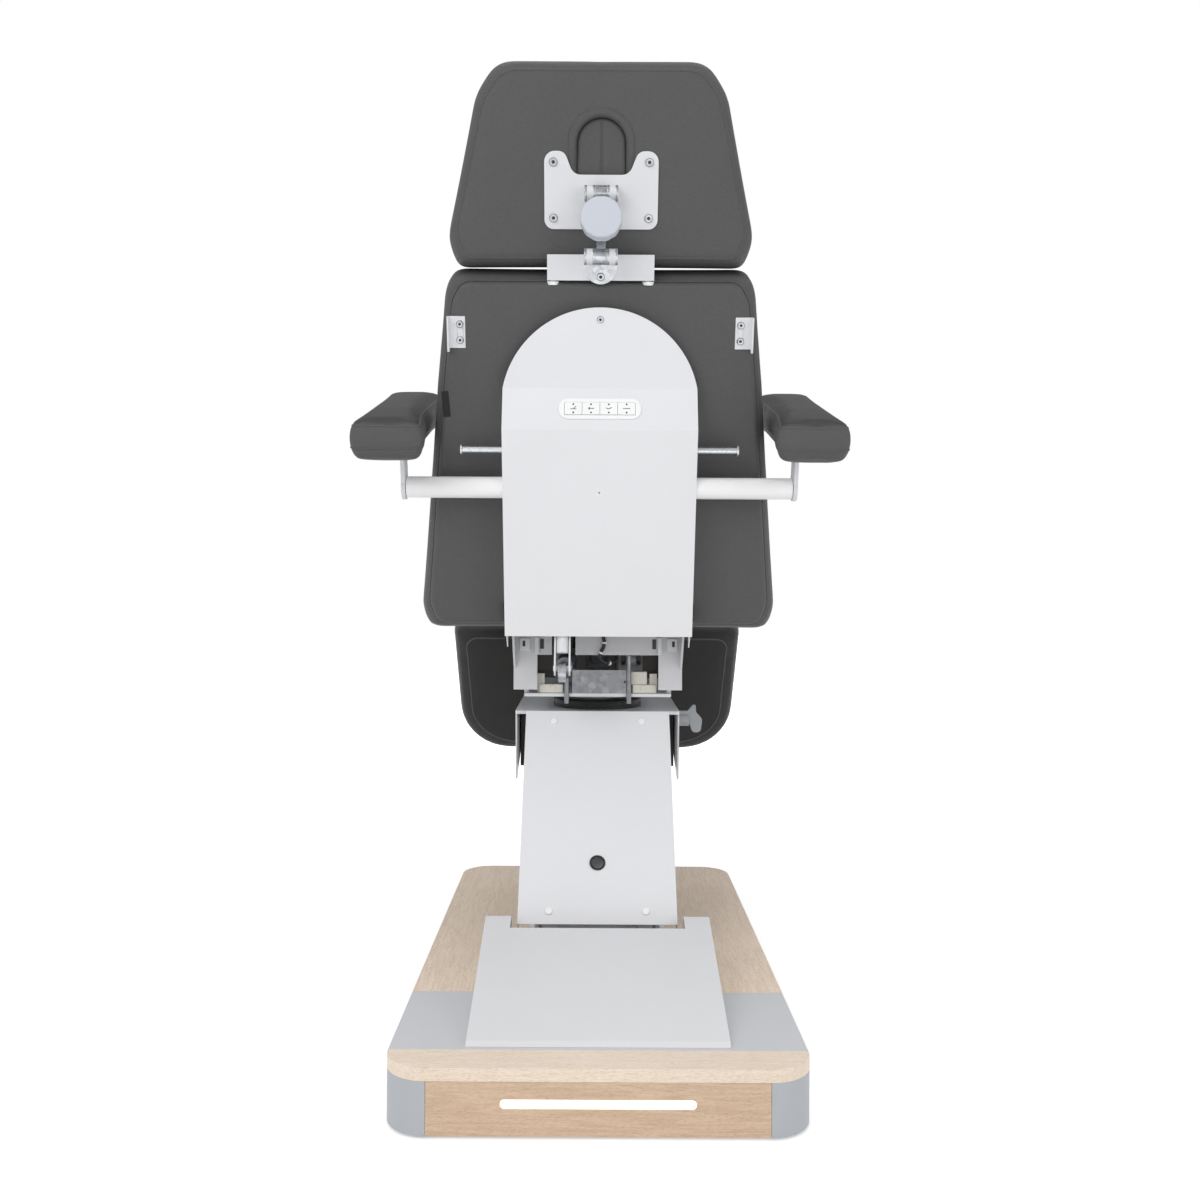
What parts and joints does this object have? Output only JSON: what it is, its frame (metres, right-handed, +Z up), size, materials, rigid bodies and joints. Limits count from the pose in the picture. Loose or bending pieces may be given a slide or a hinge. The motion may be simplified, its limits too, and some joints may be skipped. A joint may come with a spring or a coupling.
{
  "type": "electric pedicure chair",
  "caption": "Electric pedicure chair on an oak-look platform: parallel lifting arm, swivelling and tilting seat, reclining back with headrest and armrests, and folding leg rest.",
  "frame": {"origin": "on the floor under the middle of the chair's overall box at rest", "axes": "+Z up, +Y forward to the sitter's feet, +X to the sitter's right"},
  "size_m": [0.8128, 1.3315, 1.5904],
  "materials": {
    "oak": "pale oak laminate",
    "grey_steel": "powder coated, satin grey",
    "chassis_steel": "black primer",
    "led": "opal diffuser",
    "black_rubber": "matt",
    "black_plastic": "fine texture",
    "black_steel": "black enamel",
    "white_steel": "powder coated, satin white",
    "white_plastic": "satin",
    "zinc_steel": "zinc plated",
    "stainless": "polished",
    "grey_plastic": "fine texture",
    "motor_plastic": "satin",
    "plywood": "black backing",
    "upholstery": "dark grey leatherette over foam"
  },
  "bodies": {
    "base": {"deck_board": "oak", "deck_band": "grey_steel", "deck_strip": "oak", "end_panels": "oak", "side_panels": "grey_steel", "corner_covers": "grey_steel", "base_chassis": "chassis_steel", "led_diffuser": "led", "levelling_feet": "black_rubber", "power_inlet": "black_plastic", "column_cover": "white_steel", "column_bracket": "white_steel"},
    "lift_arm": {"lift_arm": "white_steel", "arm_cover": "white_steel", "arm_cover_screws": "zinc_steel", "arm_grommet": "black_rubber"},
    "lift_link": {"lift_link": "white_steel"},
    "top_bracket": {"top_bracket": "white_steel", "control_box": "black_plastic", "swivel_ring": "black_steel"},
    "brake_lever": {"brake_lever": "grey_plastic"},
    "lift_motor": {"lift_motor": "motor_plastic"},
    "lift_rod": {"lift_rod": "zinc_steel"},
    "turntable": {"turntable": "white_steel", "zinc_plate": "zinc_steel"},
    "tilt_motor": {"tilt_motor": "motor_plastic"},
    "tilt_rod": {"tilt_rod": "zinc_steel"},
    "seat": {"seat_frame": "white_steel", "seat_board": "plywood", "seat_cushion": "upholstery", "harness_cable": "black_plastic"},
    "back_motor": {"back_motor": "motor_plastic"},
    "back_rod": {"back_rod": "zinc_steel"},
    "leg_motor": {"leg_motor": "motor_plastic"},
    "leg_rod": {"leg_rod": "zinc_steel"},
    "back": {"back_frame": "white_steel", "back_board": "plywood", "back_cushion": "upholstery", "back_cover": "white_steel", "cover_screw": "zinc_steel", "keypad_surround": "white_plastic", "arm_tube": "white_steel", "roll_rod": "stainless", "accessory_brackets": "white_steel"},
    "rocker_1": {"rocker_1": "white_plastic"},
    "rocker_2": {"rocker_2": "white_plastic"},
    "rocker_3": {"rocker_3": "white_plastic"},
    "rocker_4": {"rocker_4": "white_plastic"},
    "arm_left": {"arm_left": "white_steel", "pad_left": "upholstery"},
    "arm_right": {"arm_right": "white_steel", "pad_right": "upholstery"},
    "head_carriage": {"head_carriage": "white_steel"},
    "head_link": {"head_link": "zinc_steel"},
    "clamp_knob": {"clamp_knob": "grey_plastic"},
    "headrest": {"head_plate": "white_steel", "headrest_cushion": "upholstery", "face_plug": "upholstery"},
    "leg_rest": {"leg_frame": "white_steel", "leg_cushion": "upholstery"}
  },
  "joints": [
    {"name": "lift", "type": "hinge", "parent": "base", "child": "lift_arm", "pos_m": [0, -0.232, 0.147], "axis": [-1, 0, 0], "range_deg": [0, 40]},
    {"name": "link_swing", "type": "hinge", "parent": "base", "child": "lift_link", "pos_m": [0, -0.157, 0.132], "axis": [-1, 0, 0], "range_deg": [0, 40.5]},
    {"name": "top_level", "type": "hinge", "parent": "lift_arm", "child": "top_bracket", "pos_m": [0, -0.01303, 0.44401], "axis": [-1, 0, 0], "range_deg": [-40.5, 0]},
    {"name": "lift_motor_swing", "type": "hinge", "parent": "base", "child": "lift_motor", "pos_m": [0, -0.092, 0.125], "axis": [-1, 0, 0], "range_deg": [0, 45.62]},
    {"name": "lift_rod_slide", "type": "slide", "parent": "lift_motor", "child": "lift_rod", "axis": [0, 0.2679, 0.9635], "range_m": [-0.08219, 0]},
    {"name": "brake", "type": "hinge", "parent": "top_bracket", "child": "brake_lever", "pos_m": [0.1568, 0.04697, 0.46901], "axis": [1, 0, 0], "range_deg": [0, 35]},
    {"name": "swivel", "type": "hinge", "parent": "top_bracket", "child": "turntable", "pos_m": [0, 0.11697, 0.48901], "axis": [0, 0, 1], "range_deg": [-120, 120]},
    {"name": "tilt", "type": "hinge", "parent": "turntable", "child": "seat", "pos_m": [0, -0.00803, 0.54801], "axis": [1, 0, 0], "range_deg": [0, 12]},
    {"name": "tilt_motor_swing", "type": "hinge", "parent": "turntable", "child": "tilt_motor", "pos_m": [0, 0.28697, 0.55501], "axis": [1, 0, 0], "range_deg": [-0.62, 0]},
    {"name": "tilt_rod_slide", "type": "slide", "parent": "tilt_motor", "child": "tilt_rod", "axis": [0, -0.9625, 0.2712], "range_m": [0, 0.01875]},
    {"name": "recline", "type": "hinge", "parent": "seat", "child": "back", "pos_m": [0, -0.10303, 0.68001], "axis": [1, 0, 0], "range_deg": [0, 60]},
    {"name": "back_motor_swing", "type": "hinge", "parent": "seat", "child": "back_motor", "pos_m": [0, 0.28697, 0.57501], "axis": [1, 0, 0], "range_deg": [-3.9, 0]},
    {"name": "back_rod_slide", "type": "slide", "parent": "back_motor", "child": "back_rod", "axis": [0, -1, -0.002], "range_m": [-0.10138, 0]},
    {"name": "leg_raise", "type": "hinge", "parent": "seat", "child": "leg_rest", "pos_m": [0, 0.43697, 0.62001], "axis": [1, 0, 0], "range_deg": [0, 68]},
    {"name": "leg_motor_swing", "type": "hinge", "parent": "seat", "child": "leg_motor", "pos_m": [0, 0.03797, 0.58501], "axis": [1, 0, 0], "range_deg": [0, 8.62]},
    {"name": "leg_rod_slide", "type": "slide", "parent": "leg_motor", "child": "leg_rod", "axis": [0, 0.9889, -0.1487], "range_m": [0, 0.08086]},
    {"name": "arm_left_swing", "type": "hinge", "parent": "back", "child": "arm_left", "pos_m": [0, -0.19499, 0.89915], "axis": [1, 0, 0], "range_deg": [0, 90]},
    {"name": "arm_right_swing", "type": "hinge", "parent": "back", "child": "arm_right", "pos_m": [0, -0.19499, 0.89915], "axis": [1, 0, 0], "range_deg": [0, 90]},
    {"name": "head_slide", "type": "slide", "parent": "back", "child": "head_carriage", "axis": [0, -0.2756, 0.9613], "range_m": [0, 0.09]},
    {"name": "head_lower_tilt", "type": "hinge", "parent": "head_carriage", "child": "head_link", "pos_m": [0, -0.29851, 1.27102], "axis": [1, 0, 0], "range_deg": [0, 30]},
    {"name": "head_upper_tilt", "type": "hinge", "parent": "head_link", "child": "headrest", "pos_m": [0, -0.29819, 1.37514], "axis": [1, 0, 0], "range_deg": [0, 30]},
    {"name": "knob_turn", "type": "hinge", "parent": "head_link", "child": "clamp_knob", "pos_m": [0, -0.29835, 1.32308], "axis": [0, -1, 0.003], "continuous": true},
    {"name": "rocker_1_press", "type": "hinge", "parent": "back", "child": "rocker_1", "pos_m": [-0.04515, -0.23541, 1.02977], "axis": [1, 0, 0], "range_deg": [-4, 4], "stiffness_Nm_per_rad": 0.6},
    {"name": "rocker_2_press", "type": "hinge", "parent": "back", "child": "rocker_2", "pos_m": [-0.01505, -0.23541, 1.02977], "axis": [1, 0, 0], "range_deg": [-4, 4], "stiffness_Nm_per_rad": 0.6},
    {"name": "rocker_3_press", "type": "hinge", "parent": "back", "child": "rocker_3", "pos_m": [0.01505, -0.23541, 1.02977], "axis": [1, 0, 0], "range_deg": [-4, 4], "stiffness_Nm_per_rad": 0.6},
    {"name": "rocker_4_press", "type": "hinge", "parent": "back", "child": "rocker_4", "pos_m": [0.04515, -0.23541, 1.02977], "axis": [1, 0, 0], "range_deg": [-4, 4], "stiffness_Nm_per_rad": 0.6}
  ],
  "couplings": [
    {"joint": "link_swing", "follows": "lift", "ratio": 1},
    {"joint": "top_level", "follows": "lift", "ratio": -1},
    {"joint": "lift_motor_swing", "follows": "lift", "ratio": 1.1281},
    {"joint": "lift_rod_slide", "follows": "lift", "m_per_rad": -0.11701},
    {"joint": "tilt_motor_swing", "follows": "tilt", "ratio": -0.00998},
    {"joint": "tilt_rod_slide", "follows": "tilt", "m_per_rad": 0.087114},
    {"joint": "back_motor_swing", "follows": "recline", "ratio": -0.0566},
    {"joint": "back_rod_slide", "follows": "recline", "m_per_rad": -0.096329},
    {"joint": "leg_motor_swing", "follows": "leg_raise", "ratio": 0.11944},
    {"joint": "leg_rod_slide", "follows": "leg_raise", "m_per_rad": 0.067708}
  ]
}
